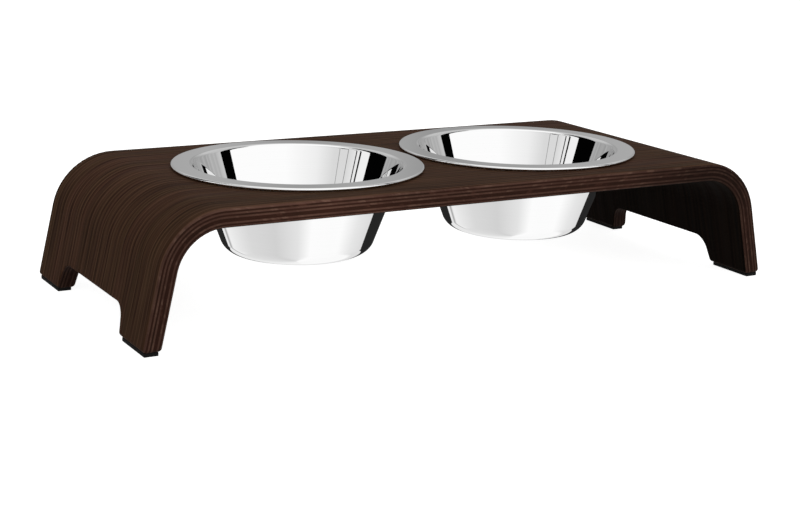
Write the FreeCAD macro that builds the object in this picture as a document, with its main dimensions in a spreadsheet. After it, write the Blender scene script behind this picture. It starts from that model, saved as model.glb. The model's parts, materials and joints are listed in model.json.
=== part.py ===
# Double dog bowl stand: a bridge of moulded plywood that carries two lift-out bowls.
# Frame: +X along the stand, +Z up, front towards -Y, origin on the floor below its middle.
# Lengths are in millimetres and angles in degrees.
import FreeCAD, Part
import math
import os
from enum import IntEnum, auto
import Sketcher

CORE_PLY_COUNT = 10

# Sharp edges are those whose two faces turn by more than this angle.
SHARP_EDGE_ANGLE = 15.0

# Driving sizes: one cell of the sheet each
SIZES = {
    # Moulded shell
    "top_height": 100.5,
    "bend_radius": 51.0,
    "leg_splay": 12.8,
    "core_ply_thickness": 1.32,
    "face_veneer_thickness": 0.6,
    "edge_round": 3.0,
    # Cut-out that leaves two feet on each leg
    "cutout_height": 24.4,
    "cutout_side_angle": 17.0,
    "cutout_corner_radius": 14.0,
    "cut_edge_round": 1.0,
    "foot_width": 47.5,
    # Pads under the feet
    "pad_thickness": 3.0,
    "pad_inset": 2.0,
    # Bowls
    "rim_diameter": 198.0,
    "rim_bead_diameter": 2.7,
    "bowl_height": 70.5,
    "bowl_sheet": 0.8,
    "flange_width": 16.0,
    "shoulder_radius": 3.5,
    "wall_taper": 20.4,
    "base_corner_radius": 15.0,
    # How the bowls sit in the shell
    "rim_gap": 6.0,
    "rim_to_bend": 12.5,
    "rim_to_edge": 18.5,
    "seat_clearance": 0.3,
    "hole_clearance": 0.5,
}

# Sizes that follow from the driving ones, as expressions
SHELL_THICKNESS = f"({CORE_PLY_COUNT} * Sizes.core_ply_thickness + 2 * Sizes.face_veneer_thickness)"
SHELL_DEPTH = "(Sizes.rim_diameter + 2 * Sizes.rim_to_edge)"
BOWL_X = "((Sizes.rim_diameter + Sizes.rim_gap) / 2)"
BEND_X = f"({BOWL_X} + Sizes.rim_diameter / 2 + Sizes.rim_to_bend)"
BEND_Z = "(Sizes.top_height - Sizes.bend_radius)"
FOOT_OUTER_X = (
    f"({BEND_X} + Sizes.bend_radius * cos(Sizes.leg_splay) + tan(Sizes.leg_splay)"
    f" * ({BEND_Z} + Sizes.bend_radius * sin(Sizes.leg_splay) - Sizes.pad_thickness))"
)
PAD_WIDTH = f"({SHELL_THICKNESS} / cos(Sizes.leg_splay) - 2 * Sizes.pad_inset)"
PAD_LENGTH = "(Sizes.foot_width - 2 * Sizes.pad_inset)"
CUTOUT_HALF_AT_FLOOR = (
    f"({SHELL_DEPTH} / 2 - Sizes.foot_width + Sizes.pad_thickness * tan(Sizes.cutout_side_angle))"
)
# The bowls' own zero height is the underside of the rim bead. Their wall would meet the flange's
# underside at WALL_TOP_RADIUS if it weren't rounded there.
BASE_Z = "(Sizes.rim_bead_diameter - Sizes.bowl_height)"
FLANGE_Z = "(Sizes.rim_bead_diameter - Sizes.bowl_sheet)"
WALL_TOP_RADIUS = "(Sizes.rim_diameter / 2 - Sizes.flange_width)"
SHOULDER_UNDER_RADIUS = "(Sizes.shoulder_radius - Sizes.bowl_sheet)"
FLANGE_FLAT_RADIUS = f"({WALL_TOP_RADIUS} + {SHOULDER_UNDER_RADIUS} * tan(45 - Sizes.wall_taper / 2))"
BASE_FLAT_RADIUS = (
    f"({WALL_TOP_RADIUS} - tan(Sizes.wall_taper) * ({FLANGE_Z} - {BASE_Z})"
    " - Sizes.base_corner_radius * tan(45 - Sizes.wall_taper / 2))"
)
# The whole rounded shoulder passes through the hole, so the bowl sits on its rim bead.
HOLE_RADIUS = f"({FLANGE_FLAT_RADIUS} + Sizes.hole_clearance)"
# The sheets that slice the shell into plies run past its faces by this much.
SLICE_OVERRUN = "Sizes.edge_round"


class Spot(IntEnum):
    """The ends and the centre of a sketch element, counted from one."""

    START = auto()
    END = auto()
    CENTRE = auto()


class SketchAxis(IntEnum):
    """A sketch's own two axes."""

    HORIZONTAL = -1
    VERTICAL = -2


ORIGIN = (SketchAxis.HORIZONTAL, Spot.START)


def make_sheet(doc):
    """Write the driving sizes into a sheet, one aliased cell each."""
    sheet = doc.addObject("Spreadsheet::Sheet", "Sizes")
    for row, (name, size) in enumerate(SIZES.items(), start=1):
        sheet.set(f"A{row}", name)
        sheet.set(f"B{row}", str(size))
        sheet.setAlias(f"B{row}", name)
    doc.recompute()
    return sheet


def value(expression):
    """Work out an expression with the sheet's present sizes."""
    return float(document.Sizes.evalExpression(expression))


def point(x, y):
    """A point of a sketch."""
    return FreeCAD.Vector(x, y, 0)


def line(start, end):
    """A straight sketch element."""
    return Part.LineSegment(start, end)


def arc(centre, radius, first_angle, last_angle):
    """A round sketch element that runs anticlockwise between two angles in degrees."""
    circle = Part.Circle(centre, FreeCAD.Vector(0, 0, 1), radius)
    return Part.ArcOfCircle(circle, math.radians(first_angle), math.radians(last_angle))


def polar(centre, radius, angle):
    """The point at an angle in degrees on a circle."""
    turn = math.radians(angle)
    return centre + point(radius * math.cos(turn), radius * math.sin(turn))


def new_sketch(body, name, plane):
    """An empty sketch on one of the body's own origin planes."""
    sketch = body.newObject("Sketcher::SketchObject", name)
    planes = {feature.Role: feature for feature in body.Origin.OriginFeatures}
    sketch.AttachmentSupport = (planes[plane], [""])
    sketch.MapMode = "FlatFace"
    return sketch


def hold(sketch, kind, *where):
    """Add a constraint that has no size."""
    sketch.addConstraint(Sketcher.Constraint(kind, *where))


def measure(sketch, name, kind, *where, size):
    """Add a named constraint whose size is an expression."""
    first_guess = value(size)
    if kind == "Angle":
        first_guess = math.radians(first_guess)
    index = sketch.addConstraint(Sketcher.Constraint(kind, *where, first_guess))
    sketch.renameConstraint(index, name)
    sketch.setExpression(f"Constraints.{name}", size)


def sharp_edges(shape):
    """Names of the edges at which two faces meet at an angle."""
    names = []
    for index, edge in enumerate(shape.Edges, start=1):
        middle = edge.valueAt((edge.FirstParameter + edge.LastParameter) / 2)
        normals = []
        for face in shape.ancestorsOfType(edge, Part.Face):
            normals.append(face.normalAt(*face.Surface.parameter(middle)))
        if len(normals) == 2 and math.degrees(normals[0].getAngle(normals[1])) > SHARP_EDGE_ANGLE:
            names.append(f"Edge{index}")
    return names


def round_sharp_edges(body, name, radius):
    """Round every edge of the body that is still sharp."""
    document.recompute()
    base = body.Tip
    edges = sharp_edges(base.Shape)
    fillet = body.newObject("PartDesign::Fillet", name)
    fillet.Base = (base, edges)
    fillet.setExpression("Radius", radius)


def bridge_sketch(body, outer_depth, inner_depth, foot_z):
    """Draw the bridge's section between two depths below its outer face.

    The two outlines are concentric, as veneers bent round one former are.
    """
    sketch = new_sketch(body, f"{body.Name}_section", "XZ_Plane")
    splay = value("Sizes.leg_splay")
    bend_x = value(BEND_X)
    bend_z = value(BEND_Z)
    leg_slope = math.tan(math.radians(splay))
    for first, depth in ((0, outer_depth), (5, inner_depth)):
        radius = value(f"Sizes.bend_radius - ({depth})")
        left_centre = point(-bend_x, bend_z)
        right_centre = point(bend_x, bend_z)
        left_leg_top = polar(left_centre, radius, 180 - splay)
        right_leg_top = polar(right_centre, radius, splay)
        foot_x = right_leg_top.x + leg_slope * (right_leg_top.y - value(foot_z))
        sketch.addGeometry(line(point(-foot_x, value(foot_z)), left_leg_top))
        sketch.addGeometry(arc(left_centre, radius, 90, 180 - splay))
        sketch.addGeometry(line(polar(left_centre, radius, 90), polar(right_centre, radius, 90)))
        sketch.addGeometry(arc(right_centre, radius, splay, 90))
        sketch.addGeometry(line(right_leg_top, point(foot_x, value(foot_z))))
        left_leg, left_bend, top, right_bend, right_leg = range(first, first + 5)
        hold(sketch, "Tangent", left_leg, Spot.END, left_bend, Spot.END)
        hold(sketch, "Tangent", left_bend, Spot.START, top, Spot.START)
        hold(sketch, "Tangent", top, Spot.END, right_bend, Spot.END)
        hold(sketch, "Tangent", right_bend, Spot.START, right_leg, Spot.START)
        hold(sketch, "Equal", left_bend, right_bend)
        side = "outer" if first == 0 else "inner"
        measure(sketch, f"{side}_bend", "Radius", right_bend, size=f"Sizes.bend_radius - ({depth})")
        measure(sketch, f"{side}_left_angle", "Angle", left_leg, size="90 - Sizes.leg_splay")
        measure(sketch, f"{side}_right_angle", "Angle", right_leg, size="Sizes.leg_splay - 90")
    outer_left_leg, outer_left_bend, outer_right_bend, outer_right_leg = 0, 1, 3, 4
    inner_left_leg, inner_left_bend, inner_right_bend, inner_right_leg = 5, 6, 8, 9
    left_foot, right_foot = 10, 11
    corners = {
        left_foot: (outer_left_leg, Spot.START, inner_left_leg, Spot.START),
        right_foot: (outer_right_leg, Spot.END, inner_right_leg, Spot.END),
    }
    for foot, (outer_leg, outer_end, inner_leg, inner_end) in corners.items():
        sketch.addGeometry(line(sketch.getPoint(outer_leg, outer_end), sketch.getPoint(inner_leg, inner_end)))
        hold(sketch, "Coincident", foot, Spot.START, outer_leg, outer_end)
        hold(sketch, "Coincident", foot, Spot.END, inner_leg, inner_end)
        hold(sketch, "Horizontal", foot)
        measure(sketch, f"foot_z_{foot}", "DistanceY", *ORIGIN, foot, Spot.START, size=foot_z)
    hold(sketch, "Coincident", outer_left_bend, Spot.CENTRE, inner_left_bend, Spot.CENTRE)
    hold(sketch, "Coincident", outer_right_bend, Spot.CENTRE, inner_right_bend, Spot.CENTRE)
    bend_centres = (outer_left_bend, Spot.CENTRE, outer_right_bend, Spot.CENTRE)
    hold(sketch, "Symmetric", *bend_centres, SketchAxis.VERTICAL)
    measure(sketch, "bend_x", "DistanceX", *ORIGIN, outer_right_bend, Spot.CENTRE, size=BEND_X)
    measure(sketch, "bend_z", "DistanceY", *ORIGIN, outer_right_bend, Spot.CENTRE, size=BEND_Z)
    return sketch


def pad_through(body, sketch, length):
    """Extend a section evenly to both sides of its plane."""
    pad = body.newObject("PartDesign::Pad", f"{body.Name}_pad")
    pad.Profile = sketch
    pad.SideType = "Symmetric"
    pad.setExpression("Length", length)


def pocket_through(body, sketch, name):
    """Cut a sketch's outline right through the body, both ways."""
    document.recompute()
    volume = body.Shape.Volume
    pocket = body.newObject("PartDesign::Pocket", name)
    pocket.Profile = sketch
    pocket.Type = "ThroughAll"
    pocket.SideType = "Symmetric"
    document.recompute()
    if not body.Shape.Volume < volume:
        raise RuntimeError(f"{name} cuts nothing")


def cutout_sketch(body):
    """Draw the leg cut-out as it is seen along X: leaning sides and rounded upper corners."""
    sketch = new_sketch(body, "cutout_outline", "YZ_Plane")
    lean = value("Sizes.cutout_side_angle")
    radius = value("Sizes.cutout_corner_radius")
    half_floor = value(CUTOUT_HALF_AT_FLOOR)
    top_z = value("Sizes.cutout_height")
    half_top = half_floor - top_z * math.tan(math.radians(lean))
    corner_run = radius * math.tan(math.radians((90 - lean) / 2))
    right_centre = point(half_top - corner_run, top_z - radius)
    left_centre = point(-right_centre.x, right_centre.y)
    sketch.addGeometry(line(point(-half_floor, 0), point(half_floor, 0)))
    sketch.addGeometry(line(point(half_floor, 0), polar(right_centre, radius, lean)))
    sketch.addGeometry(arc(right_centre, radius, lean, 90))
    sketch.addGeometry(line(polar(right_centre, radius, 90), polar(left_centre, radius, 90)))
    sketch.addGeometry(arc(left_centre, radius, 90, 180 - lean))
    sketch.addGeometry(line(point(-half_floor, 0), polar(left_centre, radius, 180 - lean)))
    floor, right_side, right_corner, top, left_corner, left_side = range(6)
    hold(sketch, "Coincident", floor, Spot.END, right_side, Spot.START)
    hold(sketch, "Coincident", floor, Spot.START, left_side, Spot.START)
    hold(sketch, "Tangent", right_side, Spot.END, right_corner, Spot.START)
    hold(sketch, "Tangent", right_corner, Spot.END, top, Spot.START)
    hold(sketch, "Tangent", top, Spot.END, left_corner, Spot.START)
    hold(sketch, "Tangent", left_corner, Spot.END, left_side, Spot.END)
    hold(sketch, "Symmetric", floor, Spot.START, floor, Spot.END, SketchAxis.VERTICAL)
    hold(sketch, "PointOnObject", floor, Spot.START, SketchAxis.HORIZONTAL)
    hold(sketch, "Horizontal", top)
    hold(sketch, "Equal", right_corner, left_corner)
    measure(sketch, "half_floor", "DistanceX", *ORIGIN, floor, Spot.END, size=CUTOUT_HALF_AT_FLOOR)
    measure(sketch, "right_lean", "Angle", right_side, size="90 + Sizes.cutout_side_angle")
    measure(sketch, "left_lean", "Angle", left_side, size="90 - Sizes.cutout_side_angle")
    measure(sketch, "corner", "Radius", right_corner, size="Sizes.cutout_corner_radius")
    measure(sketch, "top_z", "DistanceY", *ORIGIN, top, Spot.START, size="Sizes.cutout_height")
    return sketch


def hole_sketch(body):
    """Draw the two round holes that the bowls hang in."""
    sketch = new_sketch(body, "hole_outlines", "XY_Plane")
    for hole, side in enumerate((-1, 1)):
        centre = point(side * value(BOWL_X), 0)
        sketch.addGeometry(Part.Circle(centre, FreeCAD.Vector(0, 0, 1), value(HOLE_RADIUS)))
        hold(sketch, "PointOnObject", hole, Spot.CENTRE, SketchAxis.HORIZONTAL)
    left_hole, right_hole = 0, 1
    hold(sketch, "Equal", left_hole, right_hole)
    measure(sketch, "hole", "Radius", right_hole, size=HOLE_RADIUS)
    measure(sketch, "right_x", "DistanceX", *ORIGIN, right_hole, Spot.CENTRE, size=BOWL_X)
    measure(sketch, "left_x", "DistanceX", left_hole, Spot.CENTRE, *ORIGIN, size=BOWL_X)
    return sketch


def make_shell(doc):
    """The whole moulded shell: bent, rounded along its edges, then cut for the feet and bowls."""
    shell = doc.addObject("PartDesign::Body", "shell")
    section = bridge_sketch(shell, "0", SHELL_THICKNESS, "Sizes.pad_thickness")
    pad_through(shell, section, SHELL_DEPTH)
    round_sharp_edges(shell, "outer_edges", "Sizes.edge_round")
    pocket_through(shell, cutout_sketch(shell), "leg_cutouts")
    pocket_through(shell, hole_sketch(shell), "bowl_holes")
    round_sharp_edges(shell, "cut_edges", "Sizes.cut_edge_round")
    doc.recompute()
    return shell


def make_sheet_of_shell(doc, shell, name, outer_depth, inner_depth):
    """One bent sheet of the shell: what lies between two depths below its outer face."""
    layer = doc.addObject("PartDesign::Body", f"{name}_layer")
    section = bridge_sketch(layer, outer_depth, inner_depth, f"Sizes.pad_thickness - {SLICE_OVERRUN}")
    pad_through(layer, section, f"{SHELL_DEPTH} + 2 * {SLICE_OVERRUN}")
    sheet = doc.addObject("Part::Common", name)
    sheet.Base = shell
    sheet.Tool = layer
    sheet.Label = name
    return sheet


def make_sheets(doc, shell):
    """Both face veneers and the core plies, from the outer face inwards."""
    first_core = "Sizes.face_veneer_thickness"
    last_core = f"{first_core} + {CORE_PLY_COUNT} * Sizes.core_ply_thickness"
    sheets = [make_sheet_of_shell(doc, shell, "outer_face_veneer", f"-{SLICE_OVERRUN}", first_core)]
    for ply in range(CORE_PLY_COUNT):
        outer_depth = f"{first_core} + {ply} * Sizes.core_ply_thickness"
        inner_depth = f"{first_core} + {ply + 1} * Sizes.core_ply_thickness"
        sheets.append(make_sheet_of_shell(doc, shell, f"core_ply_{ply + 1}", outer_depth, inner_depth))
    past_inside = f"{SHELL_THICKNESS} + {SLICE_OVERRUN}"
    sheets.append(make_sheet_of_shell(doc, shell, "inner_face_veneer", last_core, past_inside))
    return sheets


def bowl_sketch(body):
    """Draw half of the bowl's section: base, leaning wall, flat flange and rolled rim."""
    sketch = new_sketch(body, f"{body.Name}_section", "XZ_Plane")
    taper = value("Sizes.wall_taper")
    sheet = value("Sizes.bowl_sheet")
    base_z = value(BASE_Z)
    flange_z = value(FLANGE_Z)
    corner = value("Sizes.base_corner_radius")
    shoulder = value(SHOULDER_UNDER_RADIUS)
    bead = value("Sizes.rim_bead_diameter / 2")
    corner_centre = point(value(BASE_FLAT_RADIUS), base_z + corner)
    shoulder_centre = point(value(FLANGE_FLAT_RADIUS), flange_z - shoulder)
    bead_centre = point(value("Sizes.rim_diameter / 2") - bead, bead)
    wall_foot = polar(corner_centre, corner, -taper)
    wall_top = polar(shoulder_centre, shoulder, 180 - taper)
    inner_wall_foot = polar(corner_centre, corner - sheet, -taper)
    inner_wall_top = polar(shoulder_centre, shoulder + sheet, 180 - taper)
    sketch.addGeometry(line(point(0, base_z), polar(corner_centre, corner, -90)))
    sketch.addGeometry(arc(corner_centre, corner, -90, -taper))
    sketch.addGeometry(line(wall_foot, wall_top))
    sketch.addGeometry(arc(shoulder_centre, shoulder, 90, 180 - taper))
    sketch.addGeometry(line(point(shoulder_centre.x, flange_z), point(bead_centre.x, flange_z)))
    sketch.addGeometry(arc(bead_centre, bead - sheet, -90, 90))
    sketch.addGeometry(line(polar(bead_centre, bead - sheet, -90), polar(bead_centre, bead, -90)))
    sketch.addGeometry(arc(bead_centre, bead, -90, 90))
    sketch.addGeometry(line(polar(bead_centre, bead, 90), point(shoulder_centre.x, 2 * bead)))
    sketch.addGeometry(arc(shoulder_centre, shoulder + sheet, 90, 180 - taper))
    sketch.addGeometry(line(inner_wall_top, inner_wall_foot))
    sketch.addGeometry(arc(corner_centre, corner - sheet, -90, -taper))
    sketch.addGeometry(line(polar(corner_centre, corner - sheet, -90), point(0, base_z + sheet)))
    sketch.addGeometry(line(point(0, base_z + sheet), point(0, base_z)))
    (
        base_out,
        corner_out,
        wall_out,
        shoulder_under,
        flange_under,
        bead_in,
        sheet_end,
        bead_out,
        flange_top,
        shoulder_top,
        wall_in,
        corner_in,
        base_in,
        axis_line,
    ) = range(14)
    hold(sketch, "Tangent", base_out, Spot.END, corner_out, Spot.START)
    hold(sketch, "Tangent", corner_out, Spot.END, wall_out, Spot.START)
    hold(sketch, "Tangent", wall_out, Spot.END, shoulder_under, Spot.END)
    hold(sketch, "Tangent", shoulder_under, Spot.START, flange_under, Spot.START)
    hold(sketch, "Tangent", flange_under, Spot.END, bead_in, Spot.END)
    hold(sketch, "Coincident", bead_in, Spot.START, sheet_end, Spot.START)
    hold(sketch, "Coincident", sheet_end, Spot.END, bead_out, Spot.START)
    hold(sketch, "Tangent", bead_out, Spot.END, flange_top, Spot.START)
    hold(sketch, "Tangent", flange_top, Spot.END, shoulder_top, Spot.START)
    hold(sketch, "Tangent", shoulder_top, Spot.END, wall_in, Spot.START)
    hold(sketch, "Tangent", wall_in, Spot.END, corner_in, Spot.END)
    hold(sketch, "Tangent", corner_in, Spot.START, base_in, Spot.START)
    hold(sketch, "Coincident", base_in, Spot.END, axis_line, Spot.START)
    hold(sketch, "Coincident", axis_line, Spot.END, base_out, Spot.START)
    hold(sketch, "Coincident", corner_out, Spot.CENTRE, corner_in, Spot.CENTRE)
    hold(sketch, "Coincident", shoulder_under, Spot.CENTRE, shoulder_top, Spot.CENTRE)
    hold(sketch, "Coincident", bead_in, Spot.CENTRE, bead_out, Spot.CENTRE)
    hold(sketch, "PointOnObject", axis_line, Spot.START, SketchAxis.VERTICAL)
    hold(sketch, "PointOnObject", axis_line, Spot.END, SketchAxis.VERTICAL)
    hold(sketch, "Horizontal", base_out)
    hold(sketch, "Horizontal", base_in)
    hold(sketch, "Horizontal", flange_under)
    hold(sketch, "Vertical", sheet_end)
    hold(sketch, "PointOnObject", bead_out, Spot.CENTRE, sheet_end)
    measure(sketch, "corner", "Radius", corner_out, size="Sizes.base_corner_radius")
    measure(sketch, "corner_inside", "Radius", corner_in, size="Sizes.base_corner_radius - Sizes.bowl_sheet")
    measure(sketch, "shoulder", "Radius", shoulder_top, size="Sizes.shoulder_radius")
    measure(sketch, "shoulder_inside", "Radius", shoulder_under, size=SHOULDER_UNDER_RADIUS)
    measure(sketch, "bead", "Radius", bead_out, size="Sizes.rim_bead_diameter / 2")
    measure(sketch, "bead_inside", "Radius", bead_in, size="Sizes.rim_bead_diameter / 2 - Sizes.bowl_sheet")
    measure(sketch, "taper", "Angle", wall_out, size="90 - Sizes.wall_taper")
    measure(sketch, "base_flat", "DistanceX", *ORIGIN, corner_out, Spot.CENTRE, size=BASE_FLAT_RADIUS)
    measure(sketch, "base_depth", "DistanceY", base_out, Spot.START, *ORIGIN, size=f"-{BASE_Z}")
    bead_x = "(Sizes.rim_diameter - Sizes.rim_bead_diameter) / 2"
    measure(sketch, "rim_x", "DistanceX", *ORIGIN, bead_out, Spot.CENTRE, size=bead_x)
    measure(sketch, "rim_z", "DistanceY", *ORIGIN, bead_out, Spot.CENTRE, size="Sizes.rim_bead_diameter / 2")
    return sketch


def make_bowl(doc, name, side):
    """One bowl, turned from its section and hung in the hole on its side of the stand."""
    bowl = doc.addObject("PartDesign::Body", name)
    bowl.Label = name
    sketch = bowl_sketch(bowl)
    turned = bowl.newObject("PartDesign::Revolution", f"{name}_turned")
    turned.Profile = sketch
    turned.ReferenceAxis = (sketch, ["V_Axis"])
    turned.Angle = 360
    bowl.setExpression("Placement.Base.x", f"{side} * {BOWL_X}")
    bowl.setExpression("Placement.Base.z", "Sizes.top_height + Sizes.seat_clearance")
    return bowl


def make_foot_pad(doc, name, left, front):
    """One flat pad, set in from the edges of the foot that it is stuck under."""
    pad = doc.addObject("Part::Box", name)
    pad.Label = name
    pad.setExpression("Length", PAD_WIDTH)
    pad.setExpression("Width", PAD_LENGTH)
    pad.setExpression("Height", "Sizes.pad_thickness")
    outer_x = f"({FOOT_OUTER_X} - Sizes.pad_inset)"
    outer_y = f"({SHELL_DEPTH} / 2 - Sizes.pad_inset)"
    pad.setExpression("Placement.Base.x", f"-{outer_x}" if left else f"{outer_x} - {PAD_WIDTH}")
    pad.setExpression("Placement.Base.y", f"-{outer_y}" if front else f"{outer_y} - {PAD_LENGTH}")
    return pad


def make_foot_pads(doc):
    """A pad under each of the four feet."""
    pads = []
    for depth_word in ("front", "back"):
        for side_word in ("left", "right"):
            name = f"foot_pad_{depth_word}_{side_word}"
            pads.append(make_foot_pad(doc, name, side_word == "left", depth_word == "front"))
    return pads


def check_document(doc, pieces):
    """Stop if any object failed or any piece isn't one sound solid."""
    for item in doc.Objects:
        if "Invalid" in item.State or "Error" in item.State:
            raise RuntimeError(f"{item.Label} failed: {item.State}")
    for piece in pieces:
        shape = piece.Shape
        if shape.isNull() or not shape.isValid() or len(shape.Solids) != 1:
            raise RuntimeError(f"{piece.Label} is not one sound solid")


def write_pieces(pieces):
    """Write each piece to its own file and print its volume."""
    os.makedirs("parts", exist_ok=True)
    for piece in pieces:
        piece.Shape.exportStep(os.path.join("parts", f"{piece.Label}.step"))
        print(f"{piece.Label}: {piece.Shape.Volume / 1000:.2f} cm3")


document = FreeCAD.newDocument("dog_bowl_stand")
make_sheet(document)
whole_shell = make_shell(document)
all_pieces = make_sheets(document, whole_shell)
all_pieces += [make_bowl(document, "left_bowl", -1), make_bowl(document, "right_bowl", 1)]
all_pieces += make_foot_pads(document)
document.recompute()
check_document(document, all_pieces)
write_pieces(all_pieces)
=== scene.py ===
"""Dress the double dog bowl stand and set it on a pale studio floor.

The stand is a bridge of moulded plywood with a wenge face, and it carries two lift-out steel bowls.
Lengths are in metres unless a name says millimetres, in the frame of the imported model.
"""

import json
import logging
import math
from dataclasses import dataclass
from enum import Enum

import bmesh
import bpy
from mathutils import Matrix, Vector

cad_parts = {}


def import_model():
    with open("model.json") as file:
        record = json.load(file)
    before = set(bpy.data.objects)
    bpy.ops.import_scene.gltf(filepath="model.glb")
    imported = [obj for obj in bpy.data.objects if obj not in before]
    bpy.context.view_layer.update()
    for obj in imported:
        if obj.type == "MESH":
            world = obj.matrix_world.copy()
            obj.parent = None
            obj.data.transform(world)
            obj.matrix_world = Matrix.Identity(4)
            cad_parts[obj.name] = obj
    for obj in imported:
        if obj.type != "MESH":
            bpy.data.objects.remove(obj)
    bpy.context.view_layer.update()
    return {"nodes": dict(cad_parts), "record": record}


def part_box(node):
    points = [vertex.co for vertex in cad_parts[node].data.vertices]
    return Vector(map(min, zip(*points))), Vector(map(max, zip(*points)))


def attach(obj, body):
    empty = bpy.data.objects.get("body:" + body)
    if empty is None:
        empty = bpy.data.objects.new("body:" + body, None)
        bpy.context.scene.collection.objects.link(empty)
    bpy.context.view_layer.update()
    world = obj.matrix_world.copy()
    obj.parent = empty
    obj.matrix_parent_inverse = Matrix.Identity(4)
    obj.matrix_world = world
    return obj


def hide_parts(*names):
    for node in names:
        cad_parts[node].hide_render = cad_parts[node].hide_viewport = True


LOG = logging.getLogger("dog_bowl_stand")

MM = 0.001
TOP_HEIGHT = 100.5 * MM
# Length along the grain from the middle of the stand to where a leg is surely reached.
LEG_START = 290 * MM
# Half of the widest gap between the two feet of a leg.
CUTOUT_HALF_WIDTH = 71.5 * MM
# Most of a noise texture's values lie between these two.
NOISE_LOW = 0.3
NOISE_HIGH = 0.7
SENSOR_MM = 36.0
IMAGE_WIDTH = 800

Colour = tuple[float, float, float, float]
Point2 = tuple[float, float]


class Side(Enum):
    """Which end of the stand a piece is at, as its sign along X."""

    LEFT = -1
    RIGHT = 1


class PlyTone(Enum):
    """The two veneers of the core, by their material slot."""

    LIGHT = "light_core_ply"
    DARK = "dark_core_ply"


def linear(code: str) -> Colour:
    """Turn an sRGB hex code into a linear colour.

    Args:
        code: Six hex digits after a hash sign.

    Returns:
        Linear red, green, blue and an alpha of one.
    """
    parts = [int(code[place : place + 2], 16) / 255 for place in (1, 3, 5)]
    # The numbers are those of the sRGB standard.
    red, green, blue = (
        part / 12.92 if part <= 0.04045 else ((part + 0.055) / 1.055) ** 2.4 for part in parts
    )
    return (red, green, blue, 1.0)


def add_node(
    tree: bpy.types.NodeTree,
    kind: str,
    inputs: dict[str | int, object] | None = None,
    stops: tuple[tuple[float, str], ...] = (),
    **settings: object,
) -> bpy.types.Node:
    """Add a node with its settings and links.

    Args:
        tree: Node tree that takes the node.
        kind: The node's type, without its ShaderNode prefix.
        inputs: A value, or an output to link, for each input by name or index.
        stops: Place and hex colour of each stop, for a node with a colour ramp.
        **settings: The node's own properties.

    Returns:
        The new node.
    """
    node = tree.nodes.new(f"ShaderNode{kind}")
    for name, setting in settings.items():
        setattr(node, name, setting)
    for place, (position, code) in enumerate(stops):
        elements = node.color_ramp.elements
        stop = elements[place] if place < len(elements) else elements.new(position)
        stop.position = position
        stop.color = linear(code)
    for key, given in (inputs or {}).items():
        if isinstance(given, bpy.types.NodeSocket):
            tree.links.new(given, node.inputs[key])
        else:
            node.inputs[key].default_value = given
    return node


def new_material(name: str) -> tuple[bpy.types.Material, bpy.types.NodeTree]:
    """Make a material with only its output node.

    Args:
        name: The material's name.

    Returns:
        The material and its node tree.
    """
    material = bpy.data.materials.new(name)
    material.use_nodes = True
    tree = material.node_tree
    tree.nodes.clear()
    return material, tree


def finish_material(tree: bpy.types.NodeTree, shader: bpy.types.Node) -> None:
    """Link a shader to a new material output."""
    add_node(tree, "OutputMaterial", {"Surface": shader.outputs["BSDF"]})


def grain_place(tree: bpy.types.NodeTree) -> tuple[bpy.types.NodeSocket, bpy.types.NodeSocket]:
    """Measure along and across the grain of a bent sheet.

    The grain runs along the stand, over each bend and down the legs, so the length along it is X on
    the top and grows by the drop below the top on the legs.

    Args:
        tree: Node tree of the material.

    Returns:
        The length along the grain and the length across it, in metres.
    """
    coordinates = add_node(tree, "TexCoord")
    axes = add_node(tree, "SeparateXYZ", {0: coordinates.outputs["Object"]})
    side = add_node(tree, "Math", {0: axes.outputs["X"]}, operation="SIGN")
    drop = add_node(tree, "Math", {0: TOP_HEIGHT, 1: axes.outputs["Z"]}, operation="SUBTRACT")
    along = add_node(
        tree,
        "Math",
        {0: side.outputs[0], 1: drop.outputs[0], 2: axes.outputs["X"]},
        operation="MULTIPLY_ADD",
    )
    return along.outputs[0], axes.outputs["Y"]


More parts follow.
